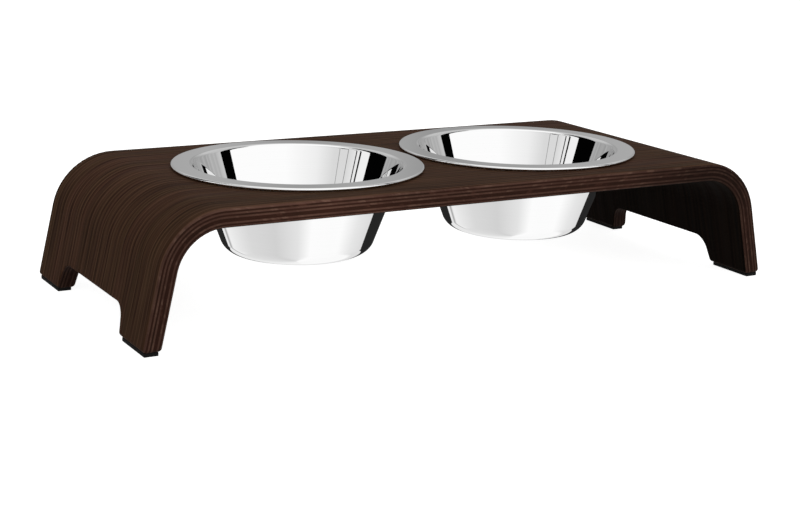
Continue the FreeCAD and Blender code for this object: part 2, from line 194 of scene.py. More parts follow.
@dataclass(frozen=True)
class WengeVeneer:
    """Wenge veneer, knife-sliced, stained even and satin-lacquered.

    Attributes:
        name: The material's name.
        dark: Colour of the dense summer wood.
        middle: Colour of the ground.
        light: Colour of the pale parenchyma lines.
        sheen_level: How strongly the lacquer mirrors.
        band_mm: Width of the broad bands across the grain.
        band_length_mm: Length of a band.
        band_share: Share of the bands in the ground's figure, which the pores give the rest of.
        line_mm: Spacing of the pale lines. Real ones are near 1 mm, too fine to show, so they are
            drawn wider.
        line_length_mm: Length over which a pale line gains and loses strength.
        line_drift: How far the bands push the pale lines aside, in spacings.
        line_reach: How far a pale line reaches from its middle, in spacings.
        line_share: How far a pale line covers the ground, from 0 to 1.
        faint_share: Strength of the faintest lines beside the strongest.
        full_line: Value of the noise from which a line has its full strength.
        hair_mm: Spacing of the pores. Real ones are near 0.2 mm, and are drawn wider for the same reason.
        hair_length_mm: Length of a pore.
        sway_mm: How far the lines wander. Sliced veneer isn't ruled.
        sway_width_mm: Width over which neighbouring lines wander together.
        sway_length_mm: Length over which a line wanders to one side.
        dark_figure: Value of the figure up to which the ground is dark.
        middle_figure: Value of the figure from which it has its middle colour.
        hue_swing: How far the bands turn from olive to red, as a share of the colour circle.
        lacquer_roughness: Roughness of the satin lacquer.
        roughness_swing: How far the roughness goes to either side of that.
        pore_depth_mm: Depth of the pores under the lacquer.
        pore_strength: How much of that depth shows, from 0 to 1.
    """

    name: str
    dark: str
    middle: str
    light: str
    sheen_level: float = 0.006
    band_mm: float = 16.0
    band_length_mm: float = 700.0
    band_share: float = 0.12
    line_mm: float = 5.5
    line_length_mm: float = 420.0
    line_drift: float = 1.2
    line_reach: float = 0.2
    line_share: float = 0.55
    faint_share: float = 0.15
    full_line: float = 0.65
    hair_mm: float = 2.8
    hair_length_mm: float = 90.0
    sway_mm: float = 5.0
    sway_width_mm: float = 50.0
    sway_length_mm: float = 200.0
    dark_figure: float = 0.34
    middle_figure: float = 0.64
    hue_swing: float = 0.04
    lacquer_roughness: float = 0.5
    roughness_swing: float = 0.06
    pore_depth_mm: float = 0.05
    pore_strength: float = 0.35

    def grain(
        self, tree: bpy.types.NodeTree, place: bpy.types.NodeSocket, length_mm: float, width_mm: float
    ) -> bpy.types.NodeSocket:
        """Draw one layer of streaks.

        Args:
            tree: Node tree of the material.
            place: Lengths along and across the grain.
            length_mm: Length of a streak.
            width_mm: Width of a streak.

        Returns:
            The layer's value, about one half on the whole.
        """
        stretched = add_node(
            tree,
            "VectorMath",
            {0: place, 1: (1 / (length_mm * MM), 1 / (width_mm * MM), 1.0)},
            operation="MULTIPLY",
        )
        streaks = add_node(
            tree,
            "TexNoise",
            {"Vector": stretched.outputs[0], "Scale": 1.0, "Detail": 2.0, "Roughness": 0.55},
            noise_dimensions="2D",
        )
        return streaks.outputs[0]

    def material(self) -> bpy.types.Material:
        """Make the material.

        Returns:
            A dark brown with close pale and dark lines along the grain, under a soft sheen.
        """
        material, tree = new_material(self.name)
        along, across = grain_place(tree)
        ground = add_node(tree, "CombineXYZ", {"X": along, "Y": across})
        sway = self.grain(tree, ground.outputs[0], self.sway_length_mm, self.sway_width_mm)
        wandered = add_node(
            tree, "Math", {0: sway, 1: self.sway_mm * MM, 2: across}, operation="MULTIPLY_ADD"
        )
        place = add_node(tree, "CombineXYZ", {"X": along, "Y": wandered.outputs[0]}).outputs[0]
        band = self.grain(tree, place, self.band_length_mm, self.band_mm)
        line = self.grain(tree, place, self.line_length_mm, self.line_mm)
        hair = self.grain(tree, place, self.hair_length_mm, self.hair_mm)
        bands = add_node(tree, "Math", {0: band, 1: self.band_share}, operation="MULTIPLY")
        figure = add_node(
            tree, "Math", {0: hair, 1: 1 - self.band_share, 2: bands.outputs[0]}, operation="MULTIPLY_ADD"
        )
        ground_colour = add_node(
            tree,
            "ValToRGB",
            {"Fac": figure.outputs[0]},
            stops=((self.dark_figure, self.dark), (self.middle_figure, self.middle)),
        )
        # The pale lines follow each other at an uneven spacing, and some are stronger than others.
        rows = add_node(
            tree, "Math", {0: wandered.outputs[0], 1: 1 / (self.line_mm * MM)}, operation="MULTIPLY"
        )
        spaced = add_node(
            tree, "Math", {0: band, 1: self.line_drift, 2: rows.outputs[0]}, operation="MULTIPLY_ADD"
        )
        distance = add_node(tree, "Math", {0: spaced.outputs[0], 1: 0.5}, operation="PINGPONG")
        ridge = add_node(
            tree,
            "MapRange",
            {
                "Value": distance.outputs[0],
                "From Max": self.line_reach,
                "To Min": self.line_share,
                "To Max": 0.0,
            },
        )
        worn = add_node(
            tree,
            "MapRange",
            {"Value": line, "From Min": NOISE_LOW, "From Max": self.full_line, "To Min": self.faint_share},
        )
        drawn = add_node(
            tree, "Math", {0: ridge.outputs["Result"], 1: worn.outputs["Result"]}, operation="MULTIPLY"
        )
        colour = add_node(
            tree,
            "Mix",
            {"Factor": drawn.outputs[0], 6: ground_colour.outputs["Color"], 7: linear(self.light)},
            data_type="RGBA",
        )
        hue = add_node(
            tree,
            "MapRange",
            {"Value": band, "To Min": 0.5 + self.hue_swing / 2, "To Max": 0.5 - self.hue_swing / 2},
        )
        tinted = add_node(
            tree, "HueSaturation", {"Hue": hue.outputs["Result"], "Color": colour.outputs[2]}
        )
        rough = add_node(
            tree,
            "MapRange",
            {
                "Value": line,
                "From Min": NOISE_LOW,
                "From Max": NOISE_HIGH,
                "To Min": self.lacquer_roughness - self.roughness_swing,
                "To Max": self.lacquer_roughness + self.roughness_swing,
            },
        )
        relief = add_node(
            tree,
            "Bump",
            {
                "Strength": self.pore_strength,
                "Distance": self.pore_depth_mm * MM,
                "Height": figure.outputs[0],
            },
        )
        shader = add_node(
            tree,
            "BsdfPrincipled",
            {
                "Base Color": tinted.outputs["Color"],
                "Roughness": rough.outputs["Result"],
                "IOR": 1.5,
                "Specular IOR Level": self.sheen_level,
                "Normal": relief.outputs["Normal"],
            },
        )
        finish_material(tree, shader)
        return material


@dataclass(frozen=True)
class StainedPlyEdge:
    """Rotary-cut plywood core, stained through, seen on its sanded edge.

    Attributes:
        name: The material's name.
        ground: Colour of the ply.
        shade: Colour of its darker stretches.
        fleck: Colour of the pale broken fibres.
        fleck_share: How much of the edge the flecks cover, from 0 to 1.
        fleck_mm: Length of a fleck along the grain.
        fleck_range: Range of the noise that fleck_share runs through.
        fleck_fade: How far before and after its limit a fleck begins and is full, in the noise's value.
        fleck_depth_mm: Depth of the torn fibres.
        stretch_mm: Length of the darker stretches.
        stretch_fade: Values of the noise between which a stretch turns dark.
        painted_light_and_shade: Painted light and shade along the edge: between two lengths along the
            grain, in millimetres, its brightness changes to the given share.
        cutout_painted_shade: Share of its brightness that the edge keeps in the cut-outs of the legs, as
            painted shade under the stand.
    """

    name: str
    ground: str
    shade: str
    fleck: str
    fleck_share: float
    fleck_mm: float = 8.0
    fleck_range: float = 0.3
    fleck_fade: tuple[float, float] = (0.02, 0.10)
    fleck_depth_mm: float = 0.05
    stretch_mm: float = 22.0
    stretch_fade: tuple[float, float] = (0.35, 0.65)
    # Painted light and shade: darker on the left leg and at the right bend, brightest left of the middle,
    # lighter low on the right leg.
    painted_light_and_shade: tuple[tuple[float, float, float], ...] = (
        (-160.0, -260.0, 0.60),
        (-115.0, -70.0, 0.74),
        (-70.0, 155.0, 0.92),
        (135.0, 205.0, 0.45),
        (265.0, 310.0, 1.6),
    )
    cutout_painted_shade: float = 0.5

    def material(self) -> bpy.types.Material:
        """Make the material.

        Returns:
            A matt brown with darker stretches and small pale flecks, with painted light and shade along the
            edge.
        """
        material, tree = new_material(self.name)
        along, across = grain_place(tree)
        # Each ply is an object of its own, so its random number sets its figure apart from its neighbours'.
        sheet = add_node(tree, "ObjectInfo").outputs["Random"]
        place = add_node(tree, "CombineXYZ", {"X": along, "Y": across, "Z": sheet}).outputs[0]
        stretch = add_node(
            tree, "TexNoise", {"Vector": place, "Scale": 1 / (self.stretch_mm * MM), "Detail": 2.0}
        )
        begins, ends = self.stretch_fade
        turned = add_node(
            tree, "MapRange", {"Value": stretch.outputs[0], "From Min": begins, "From Max": ends}
        )
        colour = add_node(
            tree,
            "Mix",
            {"Factor": turned.outputs["Result"], 6: linear(self.ground), 7: linear(self.shade)},
            data_type="RGBA",
        )
        fleck = add_node(
            tree,
            "TexNoise",
            {"Vector": place, "Scale": 1 / (self.fleck_mm * MM), "Detail": 2.0, "Roughness": 0.6},
        )
        cut = 0.5 + self.fleck_range * (0.5 - self.fleck_share)
        before, after = self.fleck_fade
        covered = add_node(
            tree,
            "MapRange",
            {"Value": fleck.outputs[0], "From Min": cut - before, "From Max": cut + after},
        )
        flecked = add_node(
            tree,
            "Mix",
            {"Factor": covered.outputs["Result"], 6: colour.outputs[2], 7: linear(self.fleck)},
            data_type="RGBA",
        )
        stained = flecked.outputs[2]
        # Painted light and shade: the colour is made lighter or darker along the grain by the listed
        # shares.
        for start, end, kept in self.painted_light_and_shade:
            painted_shading = add_node(
                tree,
                "MapRange",
                {
                    "Value": along,
                    "From Min": start * MM,
                    "From Max": end * MM,
                    "To Min": 1.0,
                    "To Max": kept,
                },
            )
            stained = add_node(
                tree, "HueSaturation", {"Value": painted_shading.outputs["Result"], "Color": stained}
            ).outputs["Color"]
        # Painted shade: the edge is darkened in the cut-outs of the legs, under the stand.
        reach = add_node(tree, "Math", {0: along}, operation="ABSOLUTE")
        on_leg = add_node(tree, "Math", {0: reach.outputs[0], 1: LEG_START}, operation="GREATER_THAN")
        between = add_node(tree, "Math", {0: across, 1: 0.0, 2: CUTOUT_HALF_WIDTH}, operation="COMPARE")
        in_cutout = add_node(
            tree, "Math", {0: on_leg.outputs[0], 1: between.outputs[0]}, operation="MULTIPLY"
        )
        cutout_shading = add_node(
            tree, "MapRange", {"Value": in_cutout.outputs[0], "To Min": 1.0, "To Max": self.cutout_painted_shade}
        )
        stained = add_node(
            tree, "HueSaturation", {"Value": cutout_shading.outputs["Result"], "Color": stained}
        ).outputs["Color"]
        relief = add_node(
            tree,
            "Bump",
            {"Strength": 0.3, "Distance": self.fleck_depth_mm * MM, "Height": fleck.outputs[0]},
        )
        shader = add_node(
            tree,
            "BsdfPrincipled",
            {
                "Base Color": stained,
                "Roughness": 0.6,
                "IOR": 1.5,
                "Specular IOR Level": 0.03,
                "Normal": relief.outputs["Normal"],
            },
        )
        finish_material(tree, shader)
        return material


@dataclass(frozen=True)
class PolishedSteel:
    """Stainless steel, deep-drawn and mirror-polished on a lathe.

    Attributes:
        name: The material's name.
        bright: Colour of the clean metal.
        dull: Colour where the polish is a little hazy.
        roughness: Roughness of the polish.
        roughness_swing: How far the roughness goes to either side of that, as a share of it.
        spin_mm: Spacing of the polishing rings. Real ones are near 0.1 mm, so they are drawn wider to show.
        spin_depth_mm: Depth of those rings.
        wave_mm: Length of the waves that the drawing left in the sheet.
        wave_depth_mm: Depth of those waves.
    """

    name: str = "stainless_steel_mirror_polished"
    bright: str = "#E6E6E6"
    dull: str = "#E3E3E3"
    roughness: float = 0.015
    roughness_swing: float = 0.4
    spin_mm: float = 1.2
    spin_depth_mm: float = 0.001
    wave_mm: float = 40.0
    wave_depth_mm: float = 0.10

    def material(self) -> bpy.types.Material:
        """Make the material.

        Returns:
            A clear mirror with faint rings around the bowl's axis and a slight waviness.
        """
        material, tree = new_material(self.name)
        coordinates = add_node(tree, "TexCoord")
        axes = add_node(tree, "SeparateXYZ", {0: coordinates.outputs["Object"]})
        flat = add_node(tree, "CombineXYZ", {"X": axes.outputs["X"], "Y": axes.outputs["Y"]})
        radius = add_node(tree, "VectorMath", {0: flat.outputs[0]}, operation="LENGTH")
        turn = add_node(tree, "Math", {0: axes.outputs["Y"], 1: axes.outputs["X"]}, operation="ARCTAN2")
        ring_radius = add_node(
            tree, "Math", {0: radius.outputs["Value"], 1: 1 / (self.spin_mm * MM)}, operation="MULTIPLY"
        )
        ring_height = add_node(
            tree, "Math", {0: axes.outputs["Z"], 1: 1 / (self.spin_mm * MM)}, operation="MULTIPLY"
        )
        ring_place = add_node(
            tree,
            "CombineXYZ",
            {"X": ring_radius.outputs[0], "Y": turn.outputs[0], "Z": ring_height.outputs[0]},
        )
        rings = add_node(tree, "TexNoise", {"Vector": ring_place.outputs[0], "Scale": 1.0, "Detail": 2.0})
        haze = add_node(
            tree,
            "Mix",
            {"Factor": rings.outputs[0], 6: linear(self.bright), 7: linear(self.dull)},
            data_type="RGBA",
        )
        rough = add_node(
            tree,
            "MapRange",
            {
                "Value": rings.outputs[0],
                "From Min": NOISE_LOW,
                "From Max": NOISE_HIGH,
                "To Min": self.roughness * (1 - self.roughness_swing),
                "To Max": self.roughness * (1 + self.roughness_swing),
            },
        )
        # Drawn sheet is never quite true: long waves bend what it mirrors.
        waves = add_node(
            tree,
            "TexNoise",
            {"Vector": coordinates.outputs["Object"], "Scale": 1 / (self.wave_mm * MM), "Detail": 1.0},
        )
        wavy = add_node(
            tree,
            "Bump",
            {"Strength": 0.2, "Distance": self.wave_depth_mm * MM, "Height": waves.outputs[0]},
        )
        ringed = add_node(
            tree,
            "Bump",
            {
                "Strength": 0.02,
                "Distance": self.spin_depth_mm * MM,
                "Height": rings.outputs[0],
                "Normal": wavy.outputs["Normal"],
            },
        )
        shader = add_node(
            tree,
            "BsdfPrincipled",
            {
                "Base Color": haze.outputs[2],
                "Metallic": 1.0,
                "Roughness": rough.outputs["Result"],
                "Normal": ringed.outputs["Normal"],
            },
        )
        finish_material(tree, shader)
        return material


@dataclass(frozen=True)
class PadRubber:
    """Synthetic rubber, moulded in sheet and die-cut.

    Attributes:
        name: The material's name.
        ground: Colour of the rubber.
        bloom: Colour of the greyish bloom on it.
        grit_mm: Size of the moulded grain.
        grit_depth_mm: Depth of that grain.
    """

    name: str = "synthetic_rubber_moulded_matt"
    ground: str = "#0B0B0B"
    bloom: str = "#1B1A19"
    grit_mm: float = 0.8
    grit_depth_mm: float = 0.08

    def material(self) -> bpy.types.Material:
        """Make the material.

        Returns:
            A matt black with a fine moulded grain.
        """
        material, tree = new_material(self.name)
        coordinates = add_node(tree, "TexCoord")
        grit = add_node(
            tree,
            "TexNoise",
            {"Vector": coordinates.outputs["Object"], "Scale": 1 / (self.grit_mm * MM), "Detail": 3.0},
        )
        colour = add_node(
            tree,
            "Mix",
            {"Factor": grit.outputs[0], 6: linear(self.ground), 7: linear(self.bloom)},
            data_type="RGBA",
        )
        relief = add_node(
            tree,
            "Bump",
            {"Strength": 0.4, "Distance": self.grit_depth_mm * MM, "Height": grit.outputs[0]},
        )
        shader = add_node(
            tree,
            "BsdfPrincipled",
            {
                "Base Color": colour.outputs[2],
                "Roughness": 0.85,
                "IOR": 1.52,
                "Specular IOR Level": 0.1,
                "Normal": relief.outputs["Normal"],
            },
        )
        finish_material(tree, shader)
        return material


@dataclass(frozen=True)
class OpalAcrylic:
    """White acrylic sheet, sanded matt, which light from behind may shine through.

    Attributes:
        name: The material's name.
        ground: Colour of the sheet.
        glow: Light that comes through the sheet.
        cloud: Colour of its slightly brighter clouds.
        clouds_per_metre: How close together the clouds are.
    """

    name: str
    ground: str
    glow: float
    cloud: str = "#C2C2C1"
    clouds_per_metre: float = 3.0

    def material(self) -> bpy.types.Material:
        """Make the material.

        Returns:
            A pale even white that keeps shadows faint.
        """
        material, tree = new_material(self.name)
        coordinates = add_node(tree, "TexCoord")
        cloud = add_node(
            tree,
            "TexNoise",
            {"Vector": coordinates.outputs["Object"], "Scale": self.clouds_per_metre, "Detail": 2.0},
        )
        colour = add_node(
            tree,
            "Mix",
            {"Factor": cloud.outputs[0], 6: linear(self.ground), 7: linear(self.cloud)},
            data_type="RGBA",
        )
        shader = add_node(
            tree,
            "BsdfPrincipled",
            {
                "Base Color": colour.outputs[2],
                "Roughness": 0.9,
                "IOR": 1.49,
                "Specular IOR Level": 0.0,
                "Emission Color": linear("#FFFFFF"),
                "Emission Strength": self.glow,
            },
        )
        finish_material(tree, shader)
        return material


@dataclass
class MouldedShell:
    """The glued bridge: two face veneers over a core of bent plies.

    Attributes:
        outer: Finish of the face that shows.
        inner: Finish of the face below, wenge drawn far darker as painted shade.
        cores: Finish of each kind of core ply.
    """

    outer: WengeVeneer
    inner: WengeVeneer
    cores: dict[PlyTone, StainedPlyEdge]

    def dress(self, nodes: dict[str, bpy.types.Object], slots: dict[str, str]) -> None:
        """Give each sheet its finish.

        Args:
            nodes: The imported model's nodes by name.
            slots: The material slot of each node.
        """
        finishes = {"outer_face_veneer": self.outer.material(), "inner_face_veneer": self.inner.material()}
        core_materials = {tone: finish.material() for tone, finish in self.cores.items()}
        for node, slot in slots.items():
            if node.startswith("core_ply"):
                finishes[node] = core_materials[PlyTone(slot)]
        for name, material in finishes.items():
            dressed = nodes[name].data.materials
            dressed.clear()
            dressed.append(material)
            LOG.info("%s dressed in %s", name, material.name)


@dataclass
class Bowl:
    """One lift-out bowl, turned as a closed sheet from its section.

    Attributes:
        side: End of the stand that it hangs at.
        centre_x: Distance of its axis from the middle of the stand.
        seat_z: Height of the underside of its rolled rim.
        rim_radius: Outer radius of the rim.
        bead_radius: Radius of the rolled edge.
        sheet: Thickness of the steel.
        height: Height from base to rim.
        flange_width: Width from the rim's edge to where wall and flange would meet.
        shoulder_radius: Rounding between wall and flange, inside.
        corner_radius: Rounding between wall and base, outside.
        taper: Lean of the wall from upright, in degrees.
        steps: Facets round the bowl.
        arc_step: Turn between two rings on a rounding, in degrees.
        run_support: Distance from an end of a straight run to the ring that keeps it flat.
        shortest_run: Length below which a run needs no such ring.
        crease: Angle from which an edge shades sharp, in degrees.
    """

    side: Side
    centre_x: float = 102.0 * MM
    seat_z: float = 100.8 * MM
    rim_radius: float = 99.0 * MM
    bead_radius: float = 1.35 * MM
    sheet: float = 0.8 * MM
    height: float = 70.5 * MM
    flange_width: float = 16.0 * MM
    shoulder_radius: float = 3.5 * MM
    corner_radius: float = 15.0 * MM
    taper: float = 20.4
    steps: int = 288
    arc_step: float = 3.0
    run_support: float = 0.2 * MM
    shortest_run: float = 2 * MM
    crease: float = 40.0

    @property
    def name(self) -> str:
        """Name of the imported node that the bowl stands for."""
        return f"{self.side.name.lower()}_bowl"

    def arc(self, centre: Point2, radius: float, first: float, last: float) -> list[Point2]:
        """Sample an arc of the section.

        Args:
            centre: Its centre as radius and height.
            radius: Its radius.
            first: Angle of its first point in degrees.
            last: Angle of its last point in degrees.

        Returns:
            Points from the first to the last angle.
        """
        count = max(2, round(abs(last - first) / self.arc_step))
        turns = [math.radians(first + (last - first) * step / count) for step in range(count + 1)]
        return [
            (centre[0] + radius * math.cos(turn), centre[1] + radius * math.sin(turn)) for turn in turns
        ]

    def section(self) -> list[Point2]:
        """Draw the section from the axis below, out round the rim and back to the axis above.

        Returns:
            Points as radius and height above the seat.
        """
        base_z = 2 * self.bead_radius - self.height
        flange_z = 2 * self.bead_radius - self.sheet
        half_turn = math.tan(math.radians(45 - self.taper / 2))
        shoulder = self.shoulder_radius - self.sheet
        wall_top = self.rim_radius - self.flange_width
        flat_radius = wall_top + shoulder * half_turn
        base_radius = wall_top - math.tan(math.radians(self.taper)) * (flange_z - base_z)
        base_radius -= self.corner_radius * half_turn
        corner = (base_radius, base_z + self.corner_radius)
        shoulder_centre = (flat_radius, flange_z - shoulder)
        bead = (self.rim_radius - self.bead_radius, self.bead_radius)
        runs = [
            [(0.0, base_z)],
            self.arc(corner, self.corner_radius, -90, -self.taper),
            self.arc(shoulder_centre, shoulder, 180 - self.taper, 90),
            self.arc(bead, self.bead_radius - self.sheet, 90, -90),
            self.arc(bead, self.bead_radius, -90, 90),
            self.arc(shoulder_centre, self.shoulder_radius, 90, 180 - self.taper),
            self.arc(corner, self.corner_radius - self.sheet, -self.taper, -90),
            [(0.0, base_z + self.sheet)],
        ]
        points = list(runs[0])
        for run in runs[1:]:
            points += self.straight(points[-1], run[0])
            points += run
        return points

    def straight(self, start: Point2, end: Point2) -> list[Point2]:
        """Support a straight run close to both its ends, so that it shades flat between them.

        Args:
            start: Point that the run leaves.
            end: Point that it reaches.

        Returns:
            The points between the two.
        """
        length = math.dist(start, end)
        if length < self.shortest_run:
            return []
        close = self.run_support / length
        across, up = end[0] - start[0], end[1] - start[1]
        shares = (close, 0.25, 0.5, 0.75, 1 - close)
        return [(start[0] + across * share, start[1] + up * share) for share in shares]

    def build(self) -> bpy.types.Object:
        """Turn the section into a closed sheet.

        Returns:
            The bowl, hung in its place.
        """
        shape = bmesh.new()
        rings: list[list[bmesh.types.BMVert]] = []
        for radius, height in self.section():
            # A point on the axis closes the sheet with a single corner.
            count = self.steps if radius else 1
            turns = [2 * math.pi * step / self.steps for step in range(count)]
            places = [(radius * math.cos(turn), radius * math.sin(turn), height) for turn in turns]
            rings.append([shape.verts.new(place) for place in places])
        for below, above in zip(rings, rings[1:]):
            for step in range(self.steps):
                after = (step + 1) % self.steps
                corners = [below[step % len(below)], below[after % len(below)]]
                corners += [above[after % len(above)], above[step % len(above)]]
                shape.faces.new(list(dict.fromkeys(corners)))
        bmesh.ops.recalc_face_normals(shape, faces=shape.faces)
        mesh = bpy.data.meshes.new(f"{self.name}_turned")
        shape.to_mesh(mesh)
        shape.free()
        mesh.shade_smooth()
        mesh.set_sharp_from_angle(angle=math.radians(self.crease))
        bowl = bpy.data.objects.new(f"{self.name}_turned", mesh)
        bpy.context.scene.collection.objects.link(bowl)
        bowl.location = (self.side.value * self.centre_x, 0.0, self.seat_z)
        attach(bowl, self.name)
        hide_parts(self.name)
        return bowl

    def dress(self, bowl: bpy.types.Object, steel: bpy.types.Material) -> None:
        """Give the bowl its finish."""
        bowl.data.materials.append(steel)


@dataclass
class FootPad:
    """One die-cut pad under a foot.

    Attributes:
        node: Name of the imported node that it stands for.
        edge_round: Rounding of its edges.
        edge_facets: Facets across a rounding.
    """

    node: str
    edge_round: float = 0.5 * MM
    edge_facets: int = 4

    def build(self) -> bpy.types.Object:
        """Make the pad with rounded edges in the node's own box.

        Returns:
            The pad, riding on the stand.
        """
        low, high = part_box(self.node)
        size = high - low
        shape = bmesh.new()
        bmesh.ops.create_cube(shape, size=1.0, matrix=Matrix.Diagonal((*size, 1.0)))
        bmesh.ops.bevel(
            shape,
            geom=shape.edges[:],
            offset=self.edge_round,
            segments=self.edge_facets,
            profile=0.5,
            affect="EDGES",
        )
        mesh = bpy.data.meshes.new(f"{self.node}_cut")
        shape.to_mesh(mesh)
        shape.free()
        mesh.shade_smooth()
        pad = bpy.data.objects.new(f"{self.node}_cut", mesh)
        bpy.context.scene.collection.objects.link(pad)
        pad.location = (low + high) / 2
        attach(pad, "stand")
        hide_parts(self.node)
        return pad

    def dress(self, pad: bpy.types.Object, rubber: bpy.types.Material) -> None:
        """Give the pad its finish."""
        pad.data.materials.append(rubber)


@dataclass(frozen=True)
class LightRing:
    """A ring of panels and cards around the set.

    Attributes:
        start: Elevation in degrees where it begins to cover the ring below it.
        full: Elevation where it covers that ring.
        tones: Bearings in degrees to the right of the viewer's side, each with the grey that polished
            steel shows of what stands there.
        streaks: How far the tone behind the dark cards wavers from bearing to bearing, as a share.
        streak_width: Width of such a streak, in degrees.
        streaks_from: Bearing to either side where the streaks begin, in degrees.
        streaks_full: Bearing to either side from where they have their full strength, in degrees.
    """

    start: float
    full: float
    tones: tuple[tuple[float, str], ...]
    streaks: float = 0.0
    streak_width: float = 5.0
    streaks_from: float = 104.0
    streaks_full: float = 112.0

    def shade(self, tree: bpy.types.NodeTree, bearing: bpy.types.NodeSocket) -> bpy.types.NodeSocket:
        """Grade the ring by bearing.

        Args:
            tree: Node tree of the world.
            bearing: The bearing in degrees.

        Returns:
            The grey that stands at the bearing.
        """
        turn = add_node(tree, "Math", {0: bearing, 1: 1 / 360, 2: 0.5}, operation="MULTIPLY_ADD")
        stops = tuple((degrees / 360 + 0.5, code) for degrees, code in self.tones)
        tone = add_node(tree, "ValToRGB", {"Fac": turn.outputs[0]}, stops=stops).outputs["Color"]
        if not self.streaks:
            return tone
        ripple = add_node(
            tree,
            "TexNoise",
            {"W": bearing, "Scale": 1 / self.streak_width, "Detail": 1.0},
            noise_dimensions="1D",
        )
        wavering = add_node(
            tree,
            "MapRange",
            {
                "Value": ripple.outputs[0],
                "From Min": NOISE_LOW,
                "From Max": NOISE_HIGH,
                "To Min": 1 - self.streaks,
                "To Max": 1 + self.streaks,
            },
        )
        away = add_node(tree, "Math", {0: bearing}, operation="ABSOLUTE")
        behind = add_node(
            tree,
            "MapRange",
            {"Value": away.outputs[0], "From Min": self.streaks_from, "From Max": self.streaks_full},
        )
        return add_node(
            tree,
            "Mix",
            {"Factor": behind.outputs["Result"], 6: tone, 7: wavering.outputs["Result"]},
            data_type="RGBA",
            blend_type="MULTIPLY",
        ).outputs[2]


@dataclass(frozen=True)
class DarkCard:
    """A dark card or pole in front of the ring.

    Attributes:
        middle: Bearing of its middle from the viewer's side, in degrees to the right.
        half_width: Half of its width, in degrees.
        low: Elevation of its lower edge, in degrees.
        high: Elevation of its upper edge, in degrees.
        tone: The grey that polished steel shows of it.
    """

    middle: float
    half_width: float
    low: float
    high: float
    tone: str = "#020202"


